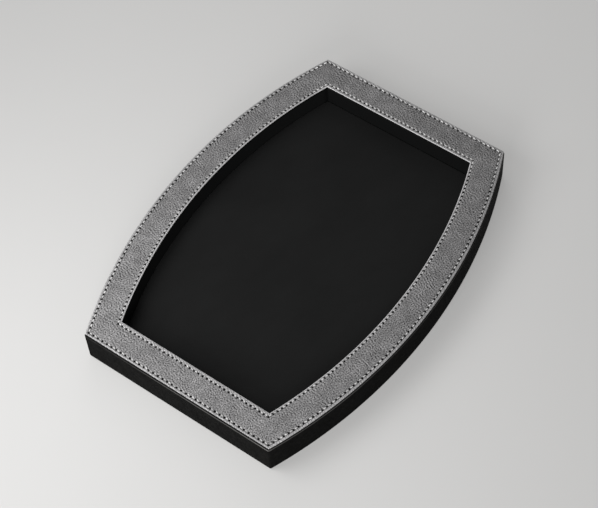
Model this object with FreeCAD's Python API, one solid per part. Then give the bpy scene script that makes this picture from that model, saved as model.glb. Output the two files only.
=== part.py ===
"""Jewelry tray: a padded recess inside a wide stitched leatherette frame.

Seen from above the tray is barrel shaped, with two straight short ends and two long sides that
bow outward. X runs along the tray, Z points up, and the origin is the middle of the underside.
Every outline is the same barrel moved inward: an inset is a distance from the wall's outer face.
"""
import FreeCAD, Part
import math
import os

Vector = FreeCAD.Vector

# Overall form
LENGTH = 300.0                  # over the straight ends
END_WIDTH = 161.0               # length of each straight end
SIDE_BULGE = 30.6               # how far each side bows out past its corners
HEIGHT = 30.0                   # underside to the face of the frame
WALL_THICKNESS = 23.2           # face of the outer wrap to face of the inner lining

# Underside and base
FELT_THICKNESS = 0.9
FELT_INSET = 2.0                # felt stops short of the wall's face
BASE_THICKNESS = 6.0
BASE_CLEARANCE = 0.2            # base board to the rabbet that it is glued into
RAIL_LAND_WIDTH = 12.0          # underside of a rail, outside its rabbet

# Leatherette round the wall
WRAP_THICKNESS = 0.8
WRAP_CORNER_RADIUS = 1.2        # upright corners, seen from above
WRAP_EDGE_BEVEL = 0.6           # upper and lower edge of the wall
SEAM_WIDTH = 0.2                # butt seam where a strip's two ends meet
SEAM_FROM_CORNER = 3.0          # wrap seam, along the back right corner's end wall
LINING_THICKNESS = 0.7

# Loose splines across the corner mitres
SPLINE_THICKNESS = 3.0          # along the mitre
SPLINE_WIDTH = 12.0             # across the mitre, half in each rail
SPLINE_CLEARANCE = 0.1          # round a spline in its slot

# Padded floor
PAD_CLEARANCE = 0.3             # pad to the inner lining
PAD_CLOTH_THICKNESS = 0.6
PAD_BOARD_THICKNESS = 2.0
PAD_FOAM_THICKNESS = 3.5
PAD_TURN_IN = 14.0              # cloth turned under the pad's board
PAD_EDGE_BEVEL = 0.7            # upper edge of the foam

# Stitched frame
FACE_THICKNESS = 0.7            # grey leatherette
FRAME_BOARD_THICKNESS = 0.6
FRAME_SETBACK = 0.5             # frame edge behind the wall's outer face
FRAME_OVERHANG = 0.1            # frame edge past the inner lining
FRAME_TURN_IN = 8.0             # leatherette turned under each edge of the board
FRAME_CORNER_RADIUS = 1.1       # outer corners, seen from above
FRAME_EDGE_RADIUS = 0.9         # upper edges
FRAME_UNDER_BEVEL = 0.4         # lower edges, which leave a fine shadow line on the wall

# Stitching
OUTER_STITCH_PITCH = 4.1
INNER_STITCH_PITCH = 3.73
STITCH_THREAD_SHARE = 0.76      # of the pitch that shows as thread between two needle holes
STITCH_WIDTH = 0.8
STITCH_THICKNESS = 0.4
STITCH_RIDGE_SHARE = 0.6        # of a stitch's length that its ridge takes up
STITCH_SLANT = 7.0              # degrees off the row
CHANNEL_WIDTH = 1.3             # groove that the thread pulls into the leatherette
CHANNEL_DEPTH = 0.25
OUTER_ROW_INSET = 2.6           # from the frame's outer edge
INNER_ROW_END_INSET = 2.8       # from the frame's inner edge, at the straight ends
INNER_ROW_SIDE_INSET = 2.2      # and along the curved sides

OVERRUN = 5.0                   # cutters pass this far beyond what they cut
TOLERANCE = 0.001

# Curved sides: one arc each, through two corners and the middle of the bulge
SIDE_RADIUS = ((LENGTH / 2) ** 2 + SIDE_BULGE ** 2) / (2 * SIDE_BULGE)
SIDE_CENTRE = SIDE_RADIUS - SIDE_BULGE - END_WIDTH / 2

# Levels, from the underside up
FELT_TOP = FELT_THICKNESS
RAIL_BOTTOM = FELT_TOP + WRAP_THICKNESS
BASE_TOP = FELT_TOP + BASE_THICKNESS
PAD_CORE_BOTTOM = BASE_TOP + PAD_CLOTH_THICKNESS
FOAM_BOTTOM = PAD_CORE_BOTTOM + PAD_BOARD_THICKNESS
FOAM_TOP = FOAM_BOTTOM + PAD_FOAM_THICKNESS
FLOOR_LEVEL = FOAM_TOP + PAD_CLOTH_THICKNESS
FRAME_BOTTOM = HEIGHT - FRAME_BOARD_THICKNESS - 2 * FACE_THICKNESS
RAIL_TOP = FRAME_BOTTOM - WRAP_THICKNESS

# Insets from the wall's outer face
RAIL_OUTER = WRAP_THICKNESS
RAIL_INNER = WALL_THICKNESS - LINING_THICKNESS
RABBET_EDGE = RAIL_OUTER + RAIL_LAND_WIDTH
FRAME_INNER = WALL_THICKNESS + FRAME_OVERHANG
PAD_EDGE = WALL_THICKNESS + PAD_CLEARANCE
PAD_CORE_EDGE = PAD_EDGE + PAD_CLOTH_THICKNESS
OUTER_ROW = (FRAME_SETBACK + OUTER_ROW_INSET, FRAME_SETBACK + OUTER_ROW_INSET)
INNER_ROW = (FRAME_INNER - INNER_ROW_END_INSET, FRAME_INNER - INNER_ROW_SIDE_INSET)


def corner(end_inset, side_inset):
    """Back right corner of the barrel moved inward by one inset at the ends and one at the sides."""
    x = LENGTH / 2 - end_inset
    y = math.sqrt((SIDE_RADIUS - side_inset) ** 2 - x ** 2) - SIDE_CENTRE
    return Vector(x, y, 0)


def slab(low, high, end_inset, side_inset=None):
    """Upright solid between two levels, with the barrel outline moved inward."""
    if side_inset is None:
        side_inset = end_inset
    tip = corner(end_inset, side_inset)
    bulge = SIDE_RADIUS - side_inset - SIDE_CENTRE
    back_left = Vector(-tip.x, tip.y, low)
    back_right = Vector(tip.x, tip.y, low)
    front_left = Vector(-tip.x, -tip.y, low)
    front_right = Vector(tip.x, -tip.y, low)
    edges = [
        Part.Arc(back_left, Vector(0, bulge, low), back_right).toShape(),
        Part.LineSegment(back_right, front_right).toShape(),
        Part.Arc(front_right, Vector(0, -bulge, low), front_left).toShape(),
        Part.LineSegment(front_left, back_left).toShape(),
    ]
    return Part.Face(Part.Wire(edges)).extrude(Vector(0, 0, high - low))


def ring(low, high, outer, inner):
    """Closed band between two insets."""
    return slab(low, high, outer).cut(slab(low, high, inner))


def round_uprights(solid, radius):
    """Round the upright corner edges."""
    uprights = [edge for edge in solid.Edges if edge.BoundBox.ZLength > TOLERANCE]
    return solid.makeFillet(radius, uprights)


def edges_at(solid, level):
    """Every edge that lies at one level."""
    edges = []
    for edge in solid.Edges:
        box = edge.BoundBox
        if abs(box.ZMin - level) < TOLERANCE and abs(box.ZMax - level) < TOLERANCE:
            edges.append(edge)
    return edges


def round_level(solid, level, radius):
    return solid.makeFillet(radius, edges_at(solid, level))


def bevel_level(solid, level, size):
    return solid.makeChamfer(size, edges_at(solid, level))


def corner_signs():
    """The four corners as signs of X and Y."""
    return [(x, y) for x in (-1, 1) for y in (-1, 1)]


def bottom_felt():
    return slab(0, FELT_TOP, FELT_INSET)


def base_board():
    """Panel in the rabbet of the rails, level with the wrap that is turned under them."""
    return slab(FELT_TOP, BASE_TOP, RABBET_EDGE + BASE_CLEARANCE)


def mitre_block(sign_x, sign_y, clearance, high):
    """Upright block across the middle of one corner's mitre, from the base board up."""
    outer = corner(RAIL_OUTER, RAIL_OUTER)
    inner = corner(RAIL_INNER, RAIL_INNER)
    middle = (outer + inner) * 0.5
    along = outer - inner
    thickness = SPLINE_THICKNESS + 2 * clearance
    width = SPLINE_WIDTH + 2 * clearance
    block = Part.makeBox(thickness, width, high - BASE_TOP, Vector(-thickness / 2, -width / 2, BASE_TOP))
    heading = math.degrees(math.atan2(along.y * sign_y, along.x * sign_x))
    block.rotate(Vector(0, 0, 0), Vector(0, 0, 1), heading)
    block.translate(Vector(middle.x * sign_x, middle.y * sign_y, 0))
    return block


def corner_splines():
    return Part.makeCompound([mitre_block(x, y, 0, RAIL_TOP) for x, y in corner_signs()])


def mitre_wedge(sign_x):
    """Space between the two mitres at one end, with room beyond the rails inside and outside."""
    outer = corner(RAIL_OUTER, RAIL_OUTER)
    inner = corner(RAIL_INNER, RAIL_INNER)
    along = (outer - inner).normalize()
    tip = outer + along * OVERRUN
    heel = inner - along * OVERRUN
    points = []
    for point, sign_y in ((tip, 1), (tip, -1), (heel, -1), (heel, 1), (tip, 1)):
        points.append(Vector(point.x * sign_x, point.y * sign_y, RAIL_BOTTOM - OVERRUN))
    face = Part.Face(Part.makePolygon(points))
    return face.extrude(Vector(0, 0, RAIL_TOP - RAIL_BOTTOM + 2 * OVERRUN))


def rails():
    """Four wall cores, rabbeted for the base board, mitred and slotted for the splines."""
    wall = ring(RAIL_BOTTOM, RAIL_TOP, RAIL_OUTER, RAIL_INNER)
    wall = wall.cut(slab(RAIL_BOTTOM, BASE_TOP, RABBET_EDGE))
    for sign_x, sign_y in corner_signs():
        wall = wall.cut(mitre_block(sign_x, sign_y, SPLINE_CLEARANCE, RAIL_TOP + OVERRUN))
    left = mitre_wedge(-1)
    right = mitre_wedge(1)
    sides = wall.cut(left).cut(right)
    front, back = sorted(sides.Solids, key=lambda solid: solid.CenterOfMass.y)
    return {
        "end_rail_left": wall.common(left),
        "end_rail_right": wall.common(right),
        "side_rail_front": front,
        "side_rail_back": back,
    }


def seam_cutter(y):
    """Thin cut through the right end wall, where a strip's two ends meet."""
    low = FELT_TOP - OVERRUN
    corner_point = Vector(LENGTH / 2 - WALL_THICKNESS - OVERRUN, y - SEAM_WIDTH / 2, low)
    return Part.makeBox(WALL_THICKNESS + 2 * OVERRUN, SEAM_WIDTH, HEIGHT + 2 * OVERRUN, corner_point)


def outer_wrap():
    """Strip over the wall: across the top of the rails and lining, down the face and turned under."""
    block = round_uprights(slab(FELT_TOP, FRAME_BOTTOM, 0), WRAP_CORNER_RADIUS)
    block = bevel_level(block, FELT_TOP, WRAP_EDGE_BEVEL)
    block = bevel_level(block, FRAME_BOTTOM, WRAP_EDGE_BEVEL)
    hollow = slab(RAIL_BOTTOM, RAIL_TOP, RAIL_OUTER)
    top_opening = slab(RAIL_TOP, FRAME_BOTTOM, WALL_THICKNESS)
    under_opening = slab(FELT_TOP, RAIL_BOTTOM, RABBET_EDGE)
    wrap = block.cut(hollow).cut(top_opening).cut(under_opening)
    return wrap.cut(seam_cutter(END_WIDTH / 2 - SEAM_FROM_CORNER))


def inner_lining():
    """Strip on the inner wall, between the base board and the wrap on top of the rails."""
    lining = ring(BASE_TOP, RAIL_TOP, RAIL_INNER, WALL_THICKNESS)
    seam = corner(WALL_THICKNESS, WALL_THICKNESS).y - SEAM_FROM_CORNER
    return lining.cut(seam_cutter(seam))


def pad_board():
    return slab(PAD_CORE_BOTTOM, FOAM_BOTTOM, PAD_CORE_EDGE)


def pad_foam():
    return bevel_level(slab(FOAM_BOTTOM, FOAM_TOP, PAD_CORE_EDGE), FOAM_TOP, PAD_EDGE_BEVEL)


def pad_cover():
    """Cloth over the foam, down its edges and turned under the board, equally thick on the bevel."""
    bevel = PAD_EDGE_BEVEL + PAD_CLOTH_THICKNESS * (2 - math.sqrt(2))
    block = bevel_level(slab(BASE_TOP, FLOOR_LEVEL, PAD_EDGE), FLOOR_LEVEL, bevel)
    opening = slab(BASE_TOP, PAD_CORE_BOTTOM, PAD_EDGE + PAD_TURN_IN)
    return block.cut(pad_board()).cut(pad_foam()).cut(opening)


def frame_board():
    low = FRAME_BOTTOM + FACE_THICKNESS
    high = low + FRAME_BOARD_THICKNESS
    return ring(low, high, FRAME_SETBACK + FACE_THICKNESS, FRAME_INNER - FACE_THICKNESS)


def sewn_channel(row):
    """Shallow groove that a row of stitches pulls into the leatherette."""
    half = CHANNEL_WIDTH / 2
    low = HEIGHT - CHANNEL_DEPTH
    outer = slab(low, HEIGHT + OVERRUN, row[0] - half, row[1] - half)
    return outer.cut(slab(low, HEIGHT + OVERRUN, row[0] + half, row[1] + half))


def frame_cover():
    """Leatherette wrapped round the board, with both edges turned under and two sewn channels."""
    block = round_uprights(slab(FRAME_BOTTOM, HEIGHT, FRAME_SETBACK), FRAME_CORNER_RADIUS)
    block = block.cut(slab(FRAME_BOTTOM, HEIGHT, FRAME_INNER))
    block = round_level(block, HEIGHT, FRAME_EDGE_RADIUS)
    block = bevel_level(block, FRAME_BOTTOM, FRAME_UNDER_BEVEL)
    gap_top = FRAME_BOTTOM + FACE_THICKNESS
    gap = ring(FRAME_BOTTOM, gap_top, FRAME_SETBACK + FRAME_TURN_IN, FRAME_INNER - FRAME_TURN_IN)
    cover = block.cut(frame_board()).cut(gap)
    return cover.cut(sewn_channel(OUTER_ROW)).cut(sewn_channel(INNER_ROW))


def stitch(length):
    """One stitch along X, flat below and rising to a ridge."""
    half = length / 2
    side = STITCH_WIDTH / 2
    ridge = half * STITCH_RIDGE_SHARE
    bar = Part.makeWedge(-half, 0, -side, 0, -ridge, half, STITCH_THICKNESS, side, 0, ridge)
    bar.rotate(Vector(0, 0, 0), Vector(1, 0, 0), 90)
    return bar


def stitches_on(length, pitch, place):
    """Equal stitches along one run; place gives the point and heading at a distance from its middle."""
    count = round(length / pitch)
    step = length / count
    bars = []
    for number in range(count):
        point, heading = place((number + 0.5) * step - length / 2)
        bar = stitch(step * STITCH_THREAD_SHARE)
        bar.rotate(Vector(0, 0, 0), Vector(0, 0, 1), heading + STITCH_SLANT)
        bar.translate(point)
        bars.append(bar)
    return bars


def stitching(row, pitch):
    """Stitches along both ends and both sides of one row, with a needle hole at each corner."""
    end_inset, side_inset = row
    tip = corner(end_inset, side_inset)
    level = HEIGHT - CHANNEL_DEPTH
    radius = SIDE_RADIUS - side_inset
    side_length = 2 * radius * math.asin(tip.x / radius)

    def on_right(distance):
        return Vector(tip.x, distance, level), 90

    def on_back(distance):
        angle = distance / radius
        point = Vector(radius * math.sin(angle), radius * math.cos(angle) - SIDE_CENTRE, level)
        return point, -math.degrees(angle)

    half_row = stitches_on(2 * tip.y, pitch, on_right) + stitches_on(side_length, pitch, on_back)
    other_half = []
    for bar in half_row:
        turned = bar.copy()
        turned.rotate(Vector(0, 0, 0), Vector(0, 0, 1), 180)
        other_half.append(turned)
    return Part.makeCompound(half_row + other_half)


def main():
    parts = {
        "bottom_felt": bottom_felt(),
        "base_board": base_board(),
        "corner_splines": corner_splines(),
        "outer_wrap": outer_wrap(),
        "inner_lining": inner_lining(),
        "pad_board": pad_board(),
        "pad_foam": pad_foam(),
        "pad_cover": pad_cover(),
        "frame_board": frame_board(),
        "frame_cover": frame_cover(),
        "outer_stitching": stitching(OUTER_ROW, OUTER_STITCH_PITCH),
        "inner_stitching": stitching(INNER_ROW, INNER_STITCH_PITCH),
    }
    parts.update(rails())
    os.makedirs("parts", exist_ok=True)
    for node, shape in parts.items():
        shape.exportStep("parts/" + node + ".step")
        print(node, len(shape.Solids), shape.isValid(), round(shape.Volume))


main()
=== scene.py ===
import math
import bpy
import numpy as np
from mathutils import Matrix, Vector


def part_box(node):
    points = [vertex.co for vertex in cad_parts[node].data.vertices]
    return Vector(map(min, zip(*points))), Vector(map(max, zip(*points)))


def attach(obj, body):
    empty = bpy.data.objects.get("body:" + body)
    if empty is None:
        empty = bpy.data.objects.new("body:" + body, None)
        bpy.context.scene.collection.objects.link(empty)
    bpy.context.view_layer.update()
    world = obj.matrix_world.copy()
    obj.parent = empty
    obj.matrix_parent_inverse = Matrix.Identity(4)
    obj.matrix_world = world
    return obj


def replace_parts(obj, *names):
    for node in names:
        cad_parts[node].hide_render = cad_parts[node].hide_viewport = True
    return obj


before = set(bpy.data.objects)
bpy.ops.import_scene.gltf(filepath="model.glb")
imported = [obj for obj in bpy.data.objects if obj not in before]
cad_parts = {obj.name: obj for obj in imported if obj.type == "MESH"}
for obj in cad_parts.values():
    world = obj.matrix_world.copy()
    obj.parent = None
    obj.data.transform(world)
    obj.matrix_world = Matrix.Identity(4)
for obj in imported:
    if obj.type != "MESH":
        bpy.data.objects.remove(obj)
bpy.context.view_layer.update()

# A jewelry tray. Seen from above it is a barrel: two straight ends, and two sides that are arcs.
# Each sewn, wrapped or padded piece is a set of closed rings that follow this barrel at a given
# distance inward from the wall's face and at a given height, with quads between neighbouring rings.
# The stitches are short tubes laid along two such rings.

MM = 0.001

# The barrel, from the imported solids
HALF_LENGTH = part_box("outer_wrap")[1].x
RAIL_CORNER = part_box("end_rail_right")[1]
RAIL_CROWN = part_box("side_rail_back")[1]
WRAP = HALF_LENGTH - RAIL_CORNER.x
RAIL_BULGE = RAIL_CROWN.y - RAIL_CORNER.y
RAIL_RADIUS = (RAIL_CORNER.x ** 2 + RAIL_BULGE ** 2) / (2 * RAIL_BULGE)
SIDE_RADIUS = RAIL_RADIUS + WRAP
SIDE_CENTRE = RAIL_RADIUS - RAIL_CROWN.y


def edge_and_heights(node):
    """A solid's distance inward from the wall's face, and the heights of its foot and its top."""
    low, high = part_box(node)
    return HALF_LENGTH - high.x, low.z, high.z


WALL_FACE, WALL_FOOT, WALL_TOP = edge_and_heights("outer_wrap")
COVER_EDGE, COVER_FOOT, COVER_TOP = edge_and_heights("frame_cover")
LINING_BACK, LINING_FOOT, LINING_TOP = edge_and_heights("inner_lining")
PAD_EDGE, PAD_FOOT, PAD_TOP = edge_and_heights("pad_cover")
FOAM_EDGE, FOAM_FOOT, FOAM_TOP = edge_and_heights("pad_foam")
FELT_EDGE, FELT_FOOT, FELT_TOP = edge_and_heights("bottom_felt")
BASE_EDGE = edge_and_heights("base_board")[0]

# The walls' cores, which carry the wrap and the lining
RAILS = ["end_rail_left", "end_rail_right", "side_rail_front", "side_rail_back"]

# Lining of the inner wall: thickness and softened upper edge
LINING = 0.7 * MM
LINING_SOFT_IN = 0.3 * LINING
LINING_SOFT_DOWN = 0.2 * LINING
WALL_INSIDE = LINING_BACK + LINING
INNER_CORNER = 0.3 * MM

# Frame cover: thickness, turned edges, and steps round its section
COVER = 0.7 * MM
COVER_OVERHANG = 0.1 * MM
COVER_INSIDE = WALL_INSIDE + COVER_OVERHANG
COVER_TURN_IN = 8 * MM
COVER_CORNER = 1.1 * MM
COVER_FOLD = 0.9 * MM
COVER_UNDERCUT = 0.45 * MM
COVER_UNDERCUT_TOP = 1.0 * MM
UNDERCUT_STEPS = 5
LIP_STEPS = 7
SPAN_STEPS = 6
COVER_TURN_STEPS = 5

# Frame cover: how far below the top the painted shade on the edge under the lip starts, and over what
# height it sets in
OUTER_END_SHADE_FROM = 0.13 * MM
OUTER_SIDE_SHADE_FROM = 0.56 * MM
INNER_END_SHADE_FROM = 0.28 * MM
INNER_SIDE_SHADE_FROM = 0.42 * MM
LIP_SHADE_REACH = 0.3 * MM

# Frame cover: margins rubbed lighter, and lips and ridges lighter by painted highlight, most of all on the
# right end, where the needle holes' painted shade is also less
OUTER_RUBBED = 0.9 * MM
INNER_RUBBED = 2.0 * MM
END_RUBBED_AND_HIGHLIGHT_SHARE = 0.75
SIDE_RUBBED_AND_HIGHLIGHT_SHARE = 1.4
RUBBED_FADE = 1.3 * MM
INNER_LIP_HIGHLIGHT = 1.8
OUTER_LIP_HIGHLIGHT = 1.6
LIP_REACH = 0.1 * MM
RIDGE_HIGHLIGHT = 0.22
RIDGE_PLACE = 1.1 * MM
RIDGE_HALF_WIDTH = 0.9 * MM
RIGHT_END_FROM = HALF_LENGTH - 38 * MM
RIGHT_END_REACH = 14 * MM
RIGHT_LIP_HIGHLIGHT = 0.7
RIGHT_MARGIN_HIGHLIGHT = 0.15
RIGHT_HOLES_LESS_SHADE = 0.22
RUBBED_AND_HIGHLIGHT_LIGHTER = 0.72

# Wall wrap: corner, folds, turn-in under the base, and rings up the wall
WRAP_CORNER = 1.8 * MM
WRAP_FOLD = 0.5 * MM
WRAP_FOLD_STEPS = 6
TUCK = BASE_EDGE - 0.2 * MM
LEDGE_MIDDLE = 0.4 * WALL_INSIDE
WALL_FIRST_RING = WALL_FOOT + 1.6 * WRAP_FOLD
WALL_LAST_RING = WALL_TOP - 2.6 * WRAP_FOLD
UNDER_FOLD_RING = WALL_TOP - 1.5 * WRAP_FOLD
WALL_RINGS = 8

# Wall wrap: painted highlights along the folds, by place
FOOT_HIGHLIGHT = 0.15
FRONT_FOOT_HIGHLIGHT = 0.45
FRONT_FOOT_TO = 10 * MM
FRONT_FOOT_FADE = 60 * MM
TOP_FOLD_HIGHLIGHT = 0.05
SIDE_FOLD_HIGHLIGHT = 0.33
NEAR_FOLD_HIGHLIGHT = 0.5
NEAR_FOLD_REACH = 160 * MM
CORNER_FOLD_HIGHLIGHT = 0.7
CORNER_FOLD_REACH = 50 * MM
NEAR_LESS_ON_SIDE = 0.6
UNDER_FOLD_HIGHLIGHT = 0.6
RIGHT_FOLD_HIGHLIGHT = 0.7
END_REACH = 2 * MM

# Butt seams of the wrap and the lining, and the columns round both
SEAM_FROM_CORNER = 3 * MM
SEAM_DEPTH = 0.35 * MM
SEAM_HALF_WIDTH = 0.5 * MM
SEAM_OFFSETS = np.linspace(-1.5, 1.5, 9) * SEAM_HALF_WIDTH
WALL_COLUMNS = (40, 6, 64)

# Padded floor: cloth, hem, roll, crown and ripple. Rings on top lie at distances in from the edge, and
# the last of them is shrunk towards the middle. A wave is its phase per metre along x and y, and its start.
PAD_CLOTH = 0.6 * MM
PAD_TURN_IN = 14 * MM
PAD_HEM_ROUND = 0.3 * MM
PAD_ROLL = 1.0 * MM
PAD_ROLL_STEPS = 7
PAD_CROWN = 0.35 * MM
PAD_CROWN_REACH = 16 * MM
PAD_TOP_RINGS = np.array([2.4, 3.4, 5, 7.5, 11, 16, 23, 32]) * MM
PAD_SHRINK = np.array([0.75, 0.5, 0.25])
PAD_RIPPLE = 0.05 * MM
PAD_WAVES = ((61, 83, 0.0), (97, -47, 1.3), (29, 140, 0.7))
PAD_COLUMNS = (60, 4, 90)

# Foam and felt slabs: rounding of the edges, how far the cloth presses the foam, and rings inward
FOAM_ROUND = 0.9 * MM
FOAM_PRESSED = 0.6 * MM
FELT_ROUND = 0.25 * MM
SLAB_RINGS = np.array([20, 4]) * MM
SLAB_COLUMNS = (30, 4, 64)

# Sewing: stitch lengths, and distances of the rows from the frame's edges
OUTER_PITCH = 4.1 * MM
INNER_PITCH = 3.73 * MM
OUTER_ROW = COVER_EDGE + 2.6 * MM
INNER_ROW_END = COVER_INSIDE - 2.8 * MM
INNER_ROW_SIDE = COVER_INSIDE - 2.0 * MM

# Sewing: the thread, and rings along a stitch as shares of its length
THREAD_WIDTH = 1.1 * MM
THREAD_HEIGHT = 0.9 * MM
THREAD_SIDES = 6
THREAD_TAPER = 0.2
THREAD_LEAN = 0.26 * MM
THREAD_DRIFT = np.array([0.22, -0.18]) * MM
THREAD_START = 0.75 * MM
THREAD_RISE = 0.16
THREAD_SHADE_RISE = 1.4
THREAD_LAY = 4
PLY_SLANT = 35
PLY_SCALE = 1.1
STITCH_RINGS = np.array([0, 0.05, 0.13, 0.35, 0.65, 0.87, 0.95, 1])

# Sewing: channel, needle holes and swell of the cover beside them, and the rings and columns there
CHANNEL_DEPTH = 0.2 * MM
CHANNEL_HALF_WIDTH = 1.5 * MM
HOLE_DEPTH = 0.42 * MM
HOLE_RADIUS = 1.2 * MM
HOLE_STEEPNESS = 2.4
SWELL = 0.06 * MM
SWELL_PLACE = 1.9 * MM
SWELL_HALF_WIDTH = 0.9 * MM
SWELL_LESS_AT_HOLE = 0.6
HOLE_OFFSETS = np.array([-1.0, -0.5, 0.5, 1.0]) * MM
ROW_OFFSETS = np.array([-1.05, -0.8, -0.45, 0.45, 0.8, 1.05]) * MM
CORNER_OFFSETS = np.array([0, 0.35, 0.8]) * MM
COLUMN_STEP = 0.1 * MM

# Colours of the finishes
GREY_LEATHERETTE = (0.169, 0.166, 0.167)
# Painted shade: near black laid on the edge under the frame's lip and in the needle holes
PAINTED_SHADE_BLACK = (0.006, 0.006, 0.006)
BLACK_LEATHERETTE = (0.0104, 0.0103, 0.01)
# Painted highlight: pale grey laid along the wall wrap's folds
FOLD_HIGHLIGHT_GREY = (0.3, 0.293, 0.283)
FLOOR_MICROFIBRE = (0.0074, 0.0075, 0.0075)
WALL_MICROFIBRE = (0.0068, 0.007, 0.007)
PALE_THREAD = (0.64, 0.635, 0.63)
BLACK_FELT = (0.014, 0.014, 0.015)
GREY_FOAM = (0.09, 0.09, 0.095)
BROWN_FIBREBOARD = (0.42, 0.29, 0.175)
BEECH = (0.58, 0.41, 0.25)
GREY_CARD = (0.3, 0.29, 0.265)

# The range in which most of a cloudy pattern lies, and sockets that share a name with another
CLOUD_RANGE = (0.3, 0.7)
FURROW_SLANT = 4
MIX_SHARE, MIX_FIRST, MIX_SECOND, MIX_RESULT = 0, 6, 7, 2


def bell(distance, width):
    """1 in the middle and 0 from width outward: the square of one less the squared share of width."""
    return np.clip(1 - (distance / width) ** 2, 0, None) ** 2


def smooth(share):
    """0 to 1 with level ends: three squares less two cubes of the share, held between 0 and 1."""
    held = np.clip(share, 0, 1)
    return held * held * (3 - 2 * held)


def fold(radius, steps):
    """A quarter circle from an upright face to a level one: how far in each point is, the radius times
    one less the cosine, and how far below the level face, the radius times one less the sine."""
    angle = np.linspace(0, np.pi / 2, steps)
    return radius * (1 - np.cos(angle)), radius * (1 - np.sin(angle))


def at_right_end(x):
    """1 on the right end, which gets the most painted highlight and the least painted shade in the
    needle holes, falling smoothly to 0 along the sides.
    """
    return smooth((x - RIGHT_END_FROM) / RIGHT_END_REACH)


def corner(end_inset, side_inset):
    """Where the right end moved inward meets the back side's arc moved inward: x from the end, and y
    from the circle."""
    x = HALF_LENGTH - end_inset
    return x, np.sqrt((SIDE_RADIUS - side_inset) ** 2 - x ** 2) - SIDE_CENTRE


def even_columns(across, turn, along):
    """Evenly spread shares along an end, round a corner and along a side."""
    return np.linspace(-1, 1, across), np.linspace(0, 1, turn + 2)[1:-1], np.linspace(-1, 1, along)


def barrel_rings(end_inset, side_inset, rounding, columns):
    """Rings round the barrel as an array (rings, columns, 2), counter-clockwise from above.

    Each ring is the barrel moved inward by its own insets, with its corners rounded. Half a ring runs
    up the right end as a straight line, round the corner as an arc, along the back side as an arc about
    the side's centre, and round the next corner. The other half is the same after half a turn.
    """
    given = np.broadcast_arrays(end_inset, side_inset, rounding)
    end_inset, side_inset, rounding = (np.asarray(each, float)[:, None] for each in given)
    across, turn, along = columns
    centre_x, centre_y = corner(end_inset + rounding, side_inset + rounding)
    reach = np.arctan2(centre_x, centre_y + SIDE_CENTRE)
    bend = (np.pi / 2 - reach) * turn
    angle = -reach * along
    radius = SIDE_RADIUS - side_inset
    back_bend = np.pi / 2 + reach + bend
    parts = (
        (HALF_LENGTH - end_inset, centre_y * across),
        (centre_x + rounding * np.cos(bend), centre_y + rounding * np.sin(bend)),
        (radius * np.sin(angle), radius * np.cos(angle) - SIDE_CENTRE),
        (-centre_x + rounding * np.cos(back_bend), centre_y + rounding * np.sin(back_bend)),
    )
    half = np.concatenate([np.stack(np.broadcast_arrays(*part), -1) for part in parts], axis=1)
    return np.concatenate([half, -half], axis=1)


def ring_length(inset):
    """Length round the barrel at an inset: two ends and two arcs."""
    x, y = corner(inset, inset)
    return 4 * y + 4 * (SIDE_RADIUS - inset) * math.atan2(x, y + SIDE_CENTRE)


def ring_area(inset):
    """Area inside the barrel at an inset: twice the area under one side's arc, less the strip up to its
    centre."""
    x, y = corner(inset, inset)
    angle = math.atan2(x, y + SIDE_CENTRE)
    return 2 * ((SIDE_RADIUS - inset) ** 2 * angle + x * (y - SIDE_CENTRE))


def make_piece(name, points, faces, finish, keep_crisp, lay=None, marks=None):
    """One object at the origin from whole arrays of points and faces.

    Edges that turn by more than keep_crisp degrees stay crisp. Each point may have a UV, its lay, and
    named marks.
    """
    mesh = bpy.data.meshes.new(name)
    mesh.from_pydata(points.tolist(), [], faces)
    mesh.polygons.foreach_set("use_smooth", np.ones(len(mesh.polygons), bool))
    mesh.set_sharp_from_angle(angle=math.radians(keep_crisp))
    if lay is not None:
        of_corner = np.zeros(len(mesh.loops), np.int32)
        mesh.loops.foreach_get("vertex_index", of_corner)
        uv = lay[of_corner].astype(np.float32)
        mesh.uv_layers.new(name="lay").data.foreach_set("uv", uv.ravel())
    for mark, values in (marks or {}).items():
        carried = mesh.attributes.new(mark, "FLOAT", "POINT")
        carried.data.foreach_set("value", values.astype(np.float32).ravel())
    mesh.materials.append(finish)
    mesh.update()
    piece = bpy.data.objects.new(name, mesh)
    bpy.context.scene.collection.objects.link(piece)
    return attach(piece, "root")


def ring_faces(rings, columns, closed):
    """Quads between neighbouring rings. Where closed, the last ring meets the first; otherwise a pole
    before the first ring and one after the last close the piece with triangles."""
    ring = np.arange(rings if closed else rings - 1)[:, None] * columns
    after = (ring + columns) % (rings * columns)
    column = np.arange(columns)[None, :]
    beside = (column + 1) % columns
    quads = np.stack([ring + column, ring + beside, after + beside, after + column], -1)
    quads = quads.reshape(-1, 4).tolist()
    if closed:
        return quads
    here, there = column[0], beside[0]
    last = (rings - 1) * columns
    pole = np.full(columns, rings * columns)
    first_fan = np.stack([pole, there, here], -1).tolist()
    last_fan = np.stack([last + here, last + there, pole + 1], -1).tolist()
    return quads + first_fan + last_fan


def make_shell(name, plan, heights, finish, keep_crisp, closed=True, marks=None):
    """A shell of rings: plan is (rings, columns, 2), and heights are one for each point or each ring.
    Where the rings don't meet, poles stand at the centres of the first and the last."""
    rings, columns = plan.shape[:2]
    heights = np.broadcast_to(heights, (rings, columns))
    points = np.concatenate([plan, heights[..., None]], -1).reshape(-1, 3)
    if not closed:
        points = np.append(points, [[0, 0, heights[0].mean()], [0, 0, heights[-1].mean()]], 0)
    faces = ring_faces(rings, columns, closed)
    return make_piece(name, points, faces, finish, keep_crisp, marks=marks)


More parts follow.
